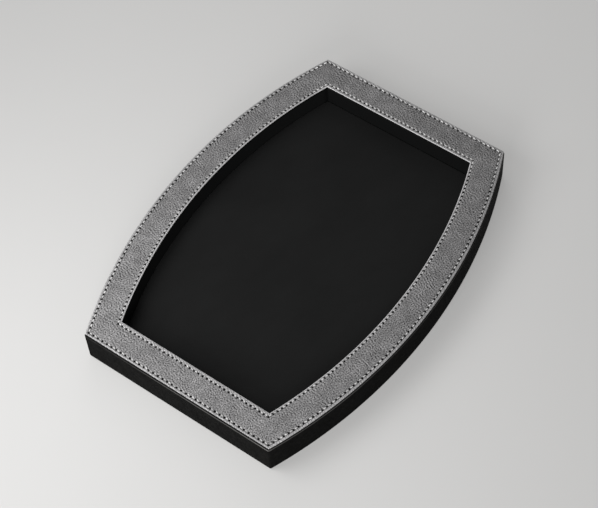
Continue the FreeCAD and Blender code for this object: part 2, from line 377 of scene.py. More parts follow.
class StitchRow:
    """A row of stitches round the barrel: a needle hole at each corner, and equal stitches between."""

    def __init__(self, end_inset, side_inset, pitch):
        self.end_inset, self.side_inset, self.pitch = end_inset, side_inset, pitch
        self.tip_x, self.tip_y = corner(end_inset, side_inset)
        self.radius = SIDE_RADIUS - side_inset
        self.reach = math.atan2(self.tip_x, self.tip_y + SIDE_CENTRE)
        self.end_count = round(2 * self.tip_y / pitch)
        self.side_count = round(2 * self.reach * self.radius / pitch)

    def hole_columns(self, rounding):
        """Shares along an end and along a side that fall just before and after each needle hole."""
        centre_x, centre_y = corner(self.end_inset + rounding, self.side_inset + rounding)
        reach = np.arctan2(centre_x, centre_y + SIDE_CENTRE)
        end_holes = np.linspace(-self.tip_y, self.tip_y, self.end_count + 1)[1:-1]
        side_holes = np.linspace(-self.reach, self.reach, self.side_count + 1)[1:-1] * self.radius
        across = (end_holes[:, None] + HOLE_OFFSETS).ravel() / centre_y
        along = (side_holes[:, None] + HOLE_OFFSETS).ravel() / (reach * self.radius)
        return across, along

    def hole_places(self):
        """Needle holes in order, counter-clockwise: up the right end, over the back side, and the same
        after half a turn."""
        up = np.linspace(-self.tip_y, self.tip_y, self.end_count + 1)[:-1]
        angle = np.linspace(self.reach, -self.reach, self.side_count + 1)[:-1]
        end = np.stack([np.full_like(up, self.tip_x), up], -1)
        side_y = self.radius * np.cos(angle) - SIDE_CENTRE
        side = np.stack([self.radius * np.sin(angle), side_y], -1)
        half = np.concatenate([end, side])
        return np.concatenate([half, -half])

    def field(self, x, y):
        """Signed distance across the row, positive outside, and distance along it to the nearest hole.

        The row is where the larger of the distances past the end lines and past the side arcs is zero;
        the larger one says which run is near. Along a run, the nearest hole is at the nearest whole
        stitch.
        """
        past_end = np.abs(x) - self.tip_x
        past_side = np.hypot(x, np.abs(y) + SIDE_CENTRE) - self.radius
        end_step = 2 * self.tip_y / self.end_count
        side_step = 2 * self.reach * self.radius / self.side_count
        end_place = (y / self.tip_y + 1) / 2 * self.end_count
        side_turn = np.arctan2(x, np.abs(y) + SIDE_CENTRE) / self.reach
        side_place = (side_turn + 1) / 2 * self.side_count
        end_away = (end_place - np.clip(np.round(end_place), 0, self.end_count)) * end_step
        side_away = (side_place - np.clip(np.round(side_place), 0, self.side_count)) * side_step
        to_hole = np.abs(np.where(past_end > past_side, end_away, side_away))
        return np.maximum(past_end, past_side), to_hole


ROWS = {
    "outer": StitchRow(OUTER_ROW, OUTER_ROW, OUTER_PITCH),
    "inner": StitchRow(INNER_ROW_END, INNER_ROW_SIDE, INNER_PITCH),
}


class Finish:
    """A procedural material: one Principled shader, and the patterns that feed its colour, roughness,
    specular level and bump."""

    def __init__(self, name, roughness, specular, sheen=0.0):
        self.material = bpy.data.materials.new(name)
        self.material.use_nodes = True
        self.tree = self.material.node_tree
        self.shader = self.tree.nodes["Principled BSDF"]
        self.shader.inputs["Roughness"].default_value = roughness
        self.shader.inputs["Specular IOR Level"].default_value = specular
        self.shader.inputs["Sheen Weight"].default_value = sheen
        self.place = self.node("ShaderNodeTexCoord").outputs["Object"]

    def node(self, kind, inputs=None, **settings):
        """A node with its settings, and each input either linked from a socket or set to a value."""
        made = self.tree.nodes.new(kind)
        for setting, value in settings.items():
            setattr(made, setting, value)
        for key, value in (inputs or {}).items():
            if isinstance(value, bpy.types.NodeSocket):
                self.tree.links.new(value, made.inputs[key])
            else:
                made.inputs[key].default_value = value
        return made

    def turned(self, place, turn):
        """Coordinates turned about the upright by a number of degrees."""
        inputs = {"Vector": place, "Rotation": (0, 0, math.radians(turn))}
        return self.node("ShaderNodeMapping", inputs).outputs[0]

    def lumps(self, size, stretch=(1, 1, 1), turn=0.0):
        """Object coordinates turned, and counted in lumps of a size that are drawn out along the axes."""
        scale = [1 / (size * share) for share in stretch]
        inputs = {"Vector": self.turned(self.place, turn), "Scale": scale}
        return self.node("ShaderNodeMapping", inputs).outputs[0]

    def clouds(self, size, detail=2.0, stretch=(1, 1, 1), turn=0.0):
        """A cloudy pattern from 0 to 1 whose lumps are about size across."""
        inputs = {"Vector": self.lumps(size, stretch, turn), "Scale": 1.0, "Detail": detail}
        return self.node("ShaderNodeTexNoise", inputs).outputs[0]

    def furrows(self, spacing, length, turn, order):
        """Ripples from 0 to 1 at an even spacing, each running for about a length. Turn is their slant
        in degrees, and order says how alike the slants are, from 0 for any slant to 1 for one."""
        inputs = {"Vector": self.place, "Scale": 1 / length, "Frequency": length / spacing}
        inputs.update({"Anisotropy": order, FURROW_SLANT: -math.radians(turn)})
        return self.node("ShaderNodeTexGabor", inputs).outputs["Value"]

    def pebbles(self, size):
        """Distance from the middle of the nearest pebble, for pebbles about size across."""
        inputs = {"Vector": self.lumps(size), "Scale": 1.0}
        return self.node("ShaderNodeTexVoronoi", inputs, feature="SMOOTH_F1").outputs[0]

    def mark(self, name):
        """A number that the piece's mesh carries at each point."""
        return self.node("ShaderNodeAttribute", attribute_name=name).outputs["Fac"]

    def between(self, value, given, wanted):
        """The value carried from the given range to the wanted one, and held there."""
        inputs = {"Value": value, "From Min": given[0], "From Max": given[1]}
        inputs.update({"To Min": wanted[0], "To Max": wanted[1]})
        return self.node("ShaderNodeMapRange", inputs).outputs[0]

    def tones(self, clouds, dark, light):
        """A cloudy pattern as tones from dark to light."""
        return self.between(clouds, CLOUD_RANGE, (dark, light))

    def by(self, share, without, full):
        """A value that goes with a share: without where it is 0, and full where it is 1."""
        return self.between(share, (0, 1), (without, full))

    def maths(self, operation, first, second):
        """One sum of two numbers, each a socket or a value."""
        return self.node("ShaderNodeMath", {0: first, 1: second}, operation=operation).outputs[0]

    def times(self, first, *others):
        """All the numbers multiplied."""
        for other in others:
            first = self.maths("MULTIPLY", first, other)
        return first

    def tint(self, colour, amount):
        """A colour made lighter or darker by a number."""
        inputs = {0: colour, "Scale": amount}
        return self.node("ShaderNodeVectorMath", inputs, operation="SCALE").outputs[0]

    def mix(self, share, first, second):
        """The first colour, a socket, where the share is 0, and the second, a value, where it is 1."""
        inputs = {MIX_SHARE: share, MIX_FIRST: first, MIX_SECOND: (*second, 1.0)}
        return self.node("ShaderNodeMix", inputs, data_type="RGBA").outputs[MIX_RESULT]

    def done(self, colour, height=None, depth=0.0, roughness=None, specular=None):
        """Links the colour, a bump of a depth, and roughness and specular patterns, and gives back the
        material."""
        self.tree.links.new(colour, self.shader.inputs["Base Color"])
        if height is not None:
            inputs = {"Strength": 1.0, "Distance": depth, "Height": height}
            bump = self.node("ShaderNodeBump", inputs).outputs[0]
            self.tree.links.new(bump, self.shader.inputs["Normal"])
        if roughness is not None:
            self.tree.links.new(roughness, self.shader.inputs["Roughness"])
        if specular is not None:
            self.tree.links.new(specular, self.shader.inputs["Specular IOR Level"])
        return self.material


def frame_leatherette():
    """Grey grained leatherette.

    Small round pebbles lie over furrows that run in all directions and, in patches, over creases along
    one slant; what stands up is lighter and what lies low is darker. Broad and small clouds shade it.
    Rubbed places are lighter and glossier; on the lips, the ridges and the right end that lightness is
    painted highlight. The edge under the lip is painted nearly black as shade, and the needle holes are
    as dark, painted shade too.
    """
    made = Finish("frame_leatherette", roughness=0.62, specular=0.35)
    pebbles = made.pebbles(0.5 * MM)
    broad_clouds = made.clouds(13 * MM, detail=3.0)
    small_clouds = made.clouds(4.5 * MM)
    patches = made.clouds(17 * MM, detail=1.0)
    creased = made.between(patches, (0.38, 0.62), (0.15, 1.1))
    creases = made.furrows(spacing=2.0 * MM, length=3.2 * MM, turn=20, order=0.72)
    creases = made.times(made.by(creases, -1, 1), creased)
    grain = made.by(made.furrows(spacing=1.6 * MM, length=2.0 * MM, turn=0, order=0.0), -1.4, 1.4)
    relief = made.maths("ADD", creases, grain)
    tone = made.times(
        made.between(pebbles, (0.15, 0.75), (1.12, 0.88)),
        made.tones(broad_clouds, 0.86, 1.14),
        made.tones(small_clouds, 0.84, 1.16),
        made.between(relief, (-0.75, 0.75), (0.12, 1.95)),
    )
    # Rubbed margins, and painted highlight on the lips, the ridges and the right end, lighten the tone and
    # make it glossier
    rubbed_and_highlight = made.mark("rubbed_and_highlight")
    colour = made.tint(GREY_LEATHERETTE, made.maths("ADD", tone, made.times(rubbed_and_highlight, RUBBED_AND_HIGHLIGHT_LIGHTER)))
    # Painted shade: the needle holes and the edge under the lip are mixed to near black and lose their
    # specular
    hole = made.between(made.mark("needle_hole_shade"), (0.45, 0.8), (0, 1))
    dark = made.maths("MAXIMUM", hole, made.mark("lip_shade"))
    colour = made.mix(dark, colour, PAINTED_SHADE_BLACK)
    specular = made.times(made.by(rubbed_and_highlight, 0.35, 0.75), made.by(dark, 1.0, 0.0))
    height = made.maths("SUBTRACT", relief, pebbles)
    roughness = made.by(rubbed_and_highlight, 0.66, 0.33)
    return made.done(colour, height, depth=0.1 * MM, roughness=roughness, specular=specular)


def wall_leatherette():
    """Black leatherette: low pebbles with finer grain in them, the pebbles' middles a little shinier than
    the hollows between, mottled and softly clouded, and painted pale grey along the folds as highlight."""
    made = Finish("wall_leatherette", roughness=0.55, specular=0.006)
    pebbles = made.pebbles(0.9 * MM)
    grain = made.clouds(0.5 * MM)
    height = made.maths("ADD", made.times(pebbles, -0.7), made.times(grain, 0.6))
    tone = made.times(
        made.tones(grain, 0.7, 1.3),
        made.tones(made.clouds(14 * MM), 0.88, 1.12),
        made.tones(made.clouds(2.4 * MM), 0.66, 1.34),
    )
    # Painted highlight: the folds are mixed to pale grey, in patches
    patches = made.clouds(55 * MM, detail=1.0)
    patchy = made.between(patches, (0.38, 0.6), (0.6, 1.1))
    fold_highlight = made.times(made.mark("fold_highlight"), patchy)
    colour = made.mix(fold_highlight, made.tint(BLACK_LEATHERETTE, tone), FOLD_HIGHLIGHT_GREY)
    roughness = made.between(pebbles, (0.1, 0.7), (0.5, 0.68))
    return made.done(colour, height, depth=0.07 * MM, roughness=roughness)


def floor_microfibre():
    """Black microfibre: short nap as very fine grain, brushed patches a little lighter or darker, and a
    soft sheen."""
    made = Finish("floor_microfibre", roughness=0.9, specular=0.12, sheen=0.05)
    nap = made.clouds(0.45 * MM)
    brushed = made.clouds(26 * MM, stretch=(1.6, 1, 1), turn=20)
    tone = made.times(made.tones(nap, 0.75, 1.25), made.tones(brushed, 0.88, 1.12))
    return made.done(made.tint(FLOOR_MICROFIBRE, tone), nap, depth=0.12 * MM)


def wall_microfibre():
    """Black microfibre glued flat on the inner wall: the same short nap, lower, and lighter along the
    sides than at the ends by painted light."""
    made = Finish("wall_microfibre", roughness=0.9, specular=0.03)
    nap = made.clouds(0.45 * MM)
    # Painted light: the lining's sides are made lighter than its ends
    tone = made.times(made.tones(nap, 0.75, 1.25), made.by(made.mark("on_side"), 1.0, 1.9))
    return made.done(made.tint(WALL_MICROFIBRE, tone), nap, depth=0.08 * MM)


def sewing_thread():
    """Pale twisted thread: plies slant across the stitch's own length and girth. Its tone varies from
    stitch to stitch, falls off into the needle holes as painted shade, and is lighter on the right end
    as painted highlight."""
    made = Finish("sewing_thread", roughness=0.38, specular=0.6)
    lay = made.node("ShaderNodeUVMap", uv_map="lay").outputs[0]
    waves = {"Vector": made.turned(lay, PLY_SLANT), "Scale": PLY_SCALE}
    plies = made.node("ShaderNodeTexWave", waves, wave_profile="SIN").outputs["Fac"]
    fluff = made.clouds(0.35 * MM)
    variety = made.clouds(3.6 * MM, detail=1.0)
    # Painted shade where the thread dips into the needle holes, and painted highlight on the right end's
    # threads
    in_hole_shade = made.mark("in_hole_shade")
    tone = made.times(
        made.by(plies, 0.78, 1.08),
        made.tones(fluff, 0.88, 1.12),
        made.between(variety, (0.35, 0.65), (0.68, 1.28)),
        made.by(in_hole_shade, 1.0, 0.03),
        made.by(made.mark("rubbed_and_highlight"), 1.0, 1.45),
    )
    specular = made.by(in_hole_shade, 0.6, 0.0)
    return made.done(made.tint(PALE_THREAD, tone), plies, depth=0.08 * MM, specular=specular)


def foot_felt():
    """Black felt: fibres matted across each other, light and dark."""
    made = Finish("foot_felt", roughness=0.95, specular=0.1, sheen=0.1)
    lengthwise = made.clouds(0.5 * MM, detail=3.0, stretch=(5, 1, 1), turn=25)
    crosswise = made.clouds(0.5 * MM, detail=3.0, stretch=(1, 5, 1), turn=10)
    fibres = made.maths("ADD", lengthwise, crosswise)
    tone = made.between(fibres, (0.7, 1.3), (0.6, 1.6))
    return made.done(made.tint(BLACK_FELT, tone), fibres, depth=0.25 * MM)


def pad_foam_grey():
    """Grey foam: small cells, lighter at their walls than in their middles."""
    made = Finish("pad_foam_grey", roughness=0.9, specular=0.15)
    cells = made.pebbles(0.8 * MM)
    tone = made.between(cells, (0.1, 0.7), (0.6, 1.3))
    return made.done(made.tint(GREY_FOAM, tone), cells, depth=0.25 * MM)


def wood_fibreboard():
    """Medium fibreboard: brown felted fibres with fine dark specks."""
    made = Finish("wood_fibreboard", roughness=0.75, specular=0.25)
    fibres = made.clouds(0.9 * MM, detail=4.0, stretch=(3, 2, 1), turn=15)
    specks = made.clouds(0.4 * MM, detail=1.0)
    speckled = made.between(specks, (0.25, 0.5), (0.75, 1.0))
    tone = made.times(made.tones(fibres, 0.84, 1.14), speckled)
    return made.done(made.tint(BROWN_FIBREBOARD, tone), fibres, depth=0.05 * MM)


def wood_beech():
    """Beech: upright grain, light and dark."""
    made = Finish("wood_beech", roughness=0.55, specular=0.3)
    grain = made.clouds(0.7 * MM, detail=3.0, stretch=(1, 1, 12))
    tone = made.tones(grain, 0.8, 1.15)
    return made.done(made.tint(BEECH, tone), grain, depth=0.04 * MM)


def grey_card():
    """Grey card: paper fibres laid along two slants, light and dark."""
    made = Finish("grey_card", roughness=0.85, specular=0.2)
    slants = [made.clouds(0.6 * MM, detail=3.0, stretch=(4, 1, 1), turn=turn) for turn in (40, 130)]
    fibres = made.maths("ADD", *slants)
    tone = made.between(fibres, (0.7, 1.3), (0.75, 1.25))
    return made.done(made.tint(GREY_CARD, tone), fibres, depth=0.03 * MM)


def cover_profile():
    """The frame cover's section: insets at the ends and along the sides, heights, and 1 for rings on top.

    From the outer turn-in the section goes out to the foot, up a curved undercut, round the lip's quarter
    circle, over the top, down the same way inside and back under; the inner face runs back one thickness
    inside. On top, rings lie close to both stitch rows. The inner row is nearer the edge along the sides,
    and the rings there move with it.
    """
    fall = np.linspace(1, 0, UNDERCUT_STEPS)
    under_depth = COVER_UNDERCUT * (1 - (1 - fall) ** 2)
    under_drop = COVER_UNDERCUT_TOP + fall * (COVER_TOP - COVER_FOOT - COVER_UNDERCUT_TOP)
    over_depth, over_drop = fold(COVER_FOLD, LIP_STEPS)
    edge_in = np.concatenate([[COVER_TURN_IN, 0.5 * COVER_TURN_IN], under_depth, over_depth])
    edge_level = np.append([COVER_FOOT, COVER_FOOT], COVER_TOP - np.append(under_drop, over_drop))
    back_in = np.array([COVER_TURN_IN, COVER + COVER_UNDERCUT, COVER])
    back_level = np.array([COVER_FOOT + COVER, COVER_FOOT + COVER, COVER_TOP - COVER])
    outside, inside = COVER_EDGE + edge_in, COVER_INSIDE - edge_in[::-1]
    back = np.append(COVER_INSIDE - back_in, COVER_EDGE + back_in[::-1])
    by_outer = OUTER_ROW + ROW_OFFSETS
    insets = []
    for inner_row in (INNER_ROW_END, INNER_ROW_SIDE):
        by_inner = inner_row + ROW_OFFSETS
        between = np.linspace(OUTER_ROW + SWELL_PLACE, inner_row - SWELL_PLACE, SPAN_STEPS)
        first = 0.5 * (COVER_EDGE + COVER_FOLD + by_outer[0])
        last = 0.5 * (COVER_INSIDE - COVER_FOLD + by_inner[-1])
        top = np.concatenate([[first], by_outer, between, by_inner, [last]])
        insets.append(np.concatenate([outside, top, inside, back]))
    top_level = np.full(len(top), COVER_TOP)
    level = np.concatenate([edge_level, top_level, edge_level[::-1], back_level, back_level[::-1]])
    on_top = np.zeros(len(level))
    on_top[len(edge_in):len(edge_in) + len(top)] = 1
    return insets[0], insets[1], level, on_top


def cover_columns():
    """Shares along an end, round a corner and along a side, close to every needle hole of both rows.

    Next to a corner they stand at set distances from it. Elsewhere they are rounded to whole steps, so
    that columns of the two rows that nearly meet become one.
    """
    both_rows = zip(*(row.hole_columns(INNER_CORNER) for row in ROWS.values()))
    tip_x, tip_y = corner(OUTER_ROW, OUTER_ROW)
    half_side = SIDE_RADIUS * math.atan2(tip_x, tip_y + SIDE_CENTRE)
    columns = []
    for by_row, half_run in zip(both_rows, (tip_y, half_side)):
        shares = np.concatenate(by_row)
        near = CORNER_OFFSETS / half_run
        clear = shares[np.abs(shares) < 1 - near[-1]]
        step = COLUMN_STEP / half_run
        columns.append(np.unique(np.concatenate([near - 1, 1 - near, np.round(clear / step) * step])))
    turn = np.linspace(0, 1, COVER_TURN_STEPS + 2)[1:-1]
    return columns[0], turn, columns[1]


def cover_rubbing_and_shade(end_inset, side_inset, drop, on_end, right, ridge):
    """How far the cover is rubbed lighter or lightened by painted highlight, and how far the edge under
    the lip is painted dark as shade, at each point.

    Margins beside the edges are rubbed lighter and fade inward by a smooth step, with painted highlight
    added on the right end; lips get painted highlight where they fall away, and ridges between the rows
    a little. The painted shade sets in by a smooth step of the drop below the top, from a depth that
    differs between ends and sides, outside and inside.
    """
    outer_margin = 1 - smooth((end_inset - COVER_EDGE - OUTER_RUBBED) / RUBBED_FADE)
    inner_margin = 1 - smooth((COVER_INSIDE - side_inset - INNER_RUBBED) / RUBBED_FADE)
    inner_share = SIDE_RUBBED_AND_HIGHLIGHT_SHARE + (END_RUBBED_AND_HIGHLIGHT_SHARE - SIDE_RUBBED_AND_HIGHLIGHT_SHARE) * on_end
    margins = np.maximum(outer_margin * (1 + RIGHT_MARGIN_HIGHLIGHT * right), inner_margin * inner_share)
    inner_half = end_inset > 0.5 * (COVER_EDGE + COVER_INSIDE)
    inner_lip = INNER_LIP_HIGHLIGHT * (1 + RIGHT_LIP_HIGHLIGHT * right)
    # Painted highlight on the lips, strongest on the right end's inner lip
    lips = np.where(inner_half, inner_lip, OUTER_LIP_HIGHLIGHT * (1 - on_end)) * smooth(drop / LIP_REACH)
    between_rows = (end_inset > OUTER_ROW) & (end_inset < INNER_ROW_END)
    rubbed_and_highlight = margins + lips + RIDGE_HIGHLIGHT * ridge * between_rows
    # Painted shade: how far below the top the edge under the lip is painted dark
    end_from = np.where(inner_half, INNER_END_SHADE_FROM, OUTER_END_SHADE_FROM)
    side_from = np.where(inner_half, INNER_SIDE_SHADE_FROM, OUTER_SIDE_SHADE_FROM)
    lip_shade_from = side_from + (end_from - side_from) * on_end
    return rubbed_and_highlight, smooth((drop - lip_shade_from) / LIP_SHADE_REACH)


def frame_cover_piece(finish):
    """The frame's sewn cover: its section carried round the barrel, folded under at both edges.

    On top the height falls by a bell across each stitch row for the sewn channel, and by a smooth step
    round each needle hole, and rises a little beside the channel between the holes.
    """
    end_inset, side_inset, level, on_top = (values[:, None] for values in cover_profile())
    rounding = np.clip(COVER_CORNER - (end_inset - COVER_EDGE), INNER_CORNER, None)
    columns = cover_columns()
    plan = barrel_rings(end_inset[:, 0], side_inset[:, 0], rounding[:, 0], columns)
    heights, needle_hole_shade, ridge = level, 0.0, 0.0
    for row in ROWS.values():
        across_row, to_hole = row.field(plan[..., 0], plan[..., 1])
        beside = np.abs(across_row)
        hole = smooth(HOLE_STEEPNESS * (1 - np.hypot(across_row, to_hole) / HOLE_RADIUS))
        sunk = CHANNEL_DEPTH * bell(across_row, CHANNEL_HALF_WIDTH) + HOLE_DEPTH * hole
        gather = 1 - SWELL_LESS_AT_HOLE * bell(to_hole, row.pitch / 2)
        swell = SWELL * gather * bell(beside - SWELL_PLACE, SWELL_HALF_WIDTH)
        heights = heights + on_top * (swell - sunk)
        needle_hole_shade = np.maximum(needle_hole_shade, on_top * hole)
        ridge = np.maximum(ridge, bell(beside - RIDGE_PLACE, RIDGE_HALF_WIDTH))
    across, turn, along = columns
    on_end = np.tile(np.concatenate([np.ones(len(across)), 1 - turn, np.zeros(len(along)), turn]), 2)
    right = at_right_end(plan[..., 0])
    # Painted shade under the lip and in the needle holes, less of it in the holes on the right end
    rubbed_and_highlight, lip_shade = cover_rubbing_and_shade(end_inset, side_inset, COVER_TOP - level, on_end, right, ridge)
    needle_hole_shade = needle_hole_shade * (1 - RIGHT_HOLES_LESS_SHADE * right)
    marks = {"rubbed_and_highlight": rubbed_and_highlight, "lip_shade": lip_shade, "needle_hole_shade": needle_hole_shade}
    piece = make_shell("sewn_frame_cover", plan, heights, finish, keep_crisp=70, marks=marks)
    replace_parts(piece, "frame_cover")
    skirt = COVER_TOP - COVER_FOOT + COVER_TURN_IN
    cut = ring_area(COVER_EDGE) - ring_area(COVER_INSIDE)
    cut = cut + skirt * (ring_length(COVER_EDGE) + ring_length(COVER_INSIDE))


def thread_piece(name, node, row, finish):
    """One row of stitches: tubes with an oval section, each from one needle hole to the next.

    Along a stitch the height rises in a smooth step out of the first hole and falls into the next.
    Sideways the thread leans: its offset inward falls evenly along the stitch, round a small drift to the
    front right. The section is fullest in the middle by a half wave.
    """
    holes = row.hole_places()
    run = np.roll(holes, -1, 0) - holes
    length = np.linalg.norm(run, axis=1, keepdims=True)
    ahead = run / length
    inward = np.stack([-ahead[:, 1], ahead[:, 0]], -1)
    share = STITCH_RINGS
    along = THREAD_START + share * (length - 2 * THREAD_START)
    raised = smooth(share / THREAD_RISE) * smooth((1 - share) / THREAD_RISE)
    aside = raised * (THREAD_LEAN * (1 - 2 * share) + (inward @ THREAD_DRIFT)[:, None])
    middle = holes[:, None] + ahead[:, None] * along[..., None] + inward[:, None] * aside[..., None]
    sunk = COVER_TOP - CHANNEL_DEPTH - HOLE_DEPTH
    laid = COVER_TOP - CHANNEL_DEPTH + 0.5 * THREAD_HEIGHT
    centre_height = sunk + (laid - sunk) * raised
    girth = np.arange(THREAD_SIDES) * (2 * np.pi / THREAD_SIDES)
    plump = (1 - THREAD_TAPER * (1 - np.sin(np.pi * share)))[:, None]
    sideways = 0.5 * THREAD_WIDTH * plump * np.cos(girth)
    upward = 0.5 * THREAD_HEIGHT * plump * np.sin(girth)
    plan = middle[:, :, None] + inward[:, None, None] * sideways[None, ..., None]
    shape = plan.shape[:3]
    height = np.broadcast_to(centre_height[:, None] + upward, shape)
    points = np.concatenate([plan, height[..., None]], -1).reshape(-1, 3)
    stitches, rings, sides = shape
    start = np.arange(stitches)[:, None, None] * rings * sides
    ring = np.arange(rings - 1)[:, None] * sides
    side = np.arange(sides)
    here, beside = start + ring + side, start + ring + (side + 1) % sides
    quads = np.stack([here, here + sides, beside + sides, beside], -1)
    first = start[:, 0] + side
    last = first + (rings - 1) * sides
    caps = np.concatenate([first, last[:, ::-1]])
    faces = quads.reshape(-1, 4).tolist() + caps.tolist()
    along_and_round = (THREAD_LAY * share[:, None], girth / np.pi)
    lay = np.stack([np.broadcast_to(part, shape) for part in along_and_round], -1).reshape(-1, 2)
    # Painted shade on the thread in the needle holes, less on the right end, and painted highlight there
    right = at_right_end(holes[:, 0])[:, None, None]
    in_hole_shade = (1 - smooth(THREAD_SHADE_RISE * raised))[:, None] * (1 - RIGHT_HOLES_LESS_SHADE * right)
    marks = {"in_hole_shade": np.broadcast_to(in_hole_shade, shape), "rubbed_and_highlight": np.broadcast_to(right, shape)}
    piece = make_piece(name, points, faces, finish, keep_crisp=80, lay=lay, marks=marks)
    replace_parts(piece, node)


def butt_seam(plan, inset):
    """The plan with a narrow groove down the right end, where the strip's two ends meet: x falls by a
    bell of y."""
    seam_place = corner(inset, inset)[1] - SEAM_FROM_CORNER
    groove = SEAM_DEPTH * bell(plan[..., 1] - seam_place, SEAM_HALF_WIDTH)
    grooved = plan.copy()
    grooved[..., 0] -= np.where(plan[..., 0] > 0, groove, 0)
    return grooved


def seam_columns(inset):
    """Even columns round a wall, with a few more at the ends across the butt seam."""
    across, turn, along = even_columns(*WALL_COLUMNS)
    seam = 1 - (SEAM_FROM_CORNER + SEAM_OFFSETS) / corner(inset, inset)[1]
    return np.unique(np.concatenate([across, seam])), turn, along


def wall_fold_highlights(x, y, on_side):
    """How much painted highlight the wall's foot and its top fold get, for each column.

    The foot gets a little all round, and more along the front towards the left. The top fold gets it
    along the sides, more at the front's right end, and most round the front left corner, by two bells of
    the distance from it.
    """
    on_front = on_side * (y < 0)
    foot = FOOT_HIGHLIGHT + FRONT_FOOT_HIGHLIGHT * on_front * smooth((FRONT_FOOT_TO - x) / FRONT_FOOT_FADE)
    from_corner = np.hypot(x + HALF_LENGTH, y + corner(WALL_FACE, WALL_FACE)[1])
    near = NEAR_FOLD_HIGHLIGHT * bell(from_corner, NEAR_FOLD_REACH)
    near = near + CORNER_FOLD_HIGHLIGHT * bell(from_corner, CORNER_FOLD_REACH)
    top = TOP_FOLD_HIGHLIGHT + SIDE_FOLD_HIGHLIGHT * on_side + RIGHT_FOLD_HIGHLIGHT * at_right_end(x) * on_front
    return foot, top + near * (1 - NEAR_LESS_ON_SIDE * on_side)


def outer_wrap_piece(finish):
    """The wall's wrap: one strip folded under the foot, up the wall and over the rails, carried round the
    barrel.

    The section goes out under the rails, round the foot's fold, up the wall, round the top fold and in
    over the rails; its inner face runs back one thickness inside. Rings differ only in inset and height.
    Painted highlight is strongest where a fold leaves the wall, and falls off round it by a squared cosine.
    """
    fold_in, fold_down = fold(WRAP_FOLD, WRAP_FOLD_STEPS)
    wall = np.append(np.linspace(WALL_FIRST_RING, WALL_LAST_RING, WALL_RINGS), UNDER_FOLD_RING)
    inset = np.concatenate([
        [TUCK, 0.5 * TUCK], fold_down, np.full(len(wall), WALL_FACE), fold_in,
        [LEDGE_MIDDLE, WALL_INSIDE, WALL_INSIDE, WRAP, WRAP, TUCK],
    ])
    level = np.concatenate([
        [WALL_FOOT, WALL_FOOT], WALL_FOOT + fold_in, wall, WALL_TOP - fold_down, [WALL_TOP, WALL_TOP],
        [WALL_TOP - WRAP, WALL_TOP - WRAP, WALL_FOOT + WRAP, WALL_FOOT + WRAP],
    ])
    rounding = np.clip(WRAP_CORNER - inset, INNER_CORNER, None)
    plan = butt_seam(barrel_rings(inset, inset, rounding, seam_columns(WALL_FACE)), WALL_FACE)
    x, y = plan[-1, :, 0], plan[-1, :, 1]
    on_side = smooth((corner(TUCK, TUCK)[0] - np.abs(x)) / END_REACH)
    # Painted highlight along the foot fold, the top fold and the ring just under it
    foot_highlight, top_highlight = wall_fold_highlights(x, y, on_side)
    round_fold = np.cos(np.linspace(0, np.pi / 2, WRAP_FOLD_STEPS))[:, None] ** 2
    foot_first = 2
    wall_first = foot_first + WRAP_FOLD_STEPS
    top_first = wall_first + len(wall)
    fold_highlight = np.zeros(plan.shape[:2])
    fold_highlight[foot_first:wall_first] = round_fold[::-1] * foot_highlight
    fold_highlight[top_first - 1] = UNDER_FOLD_HIGHLIGHT * top_highlight
    fold_highlight[top_first:top_first + WRAP_FOLD_STEPS] = round_fold * top_highlight
    marks = {"fold_highlight": fold_highlight}
    piece = make_shell("wrapped_wall", plan, level[:, None], finish, keep_crisp=50, marks=marks)
    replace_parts(piece, "outer_wrap")


def inner_lining_piece(finish):
    """The inner wall's lining: a strip with two faces and a softened upper edge, carried round the
    barrel. Its back, the first two rings, has no seam groove."""
    inset = np.array([
        LINING_BACK, LINING_BACK, LINING_BACK + LINING_SOFT_IN,
        WALL_INSIDE - LINING_SOFT_IN, WALL_INSIDE, WALL_INSIDE,
    ])
    rise = np.array([LINING_FOOT, LINING_TOP - LINING_SOFT_DOWN, LINING_TOP])
    level = np.append(rise, rise[::-1])
    even = barrel_rings(inset, inset, INNER_CORNER, seam_columns(LINING_BACK))
    plan = np.concatenate([even[:2], butt_seam(even[2:], LINING_BACK)])
    on_side = smooth((HALF_LENGTH - WALL_INSIDE - np.abs(plan[..., 0])) / END_REACH)
    marks = {"on_side": on_side}
    piece = make_shell("wall_lining", plan, level[:, None], finish, keep_crisp=50, marks=marks)
    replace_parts(piece, "inner_lining")


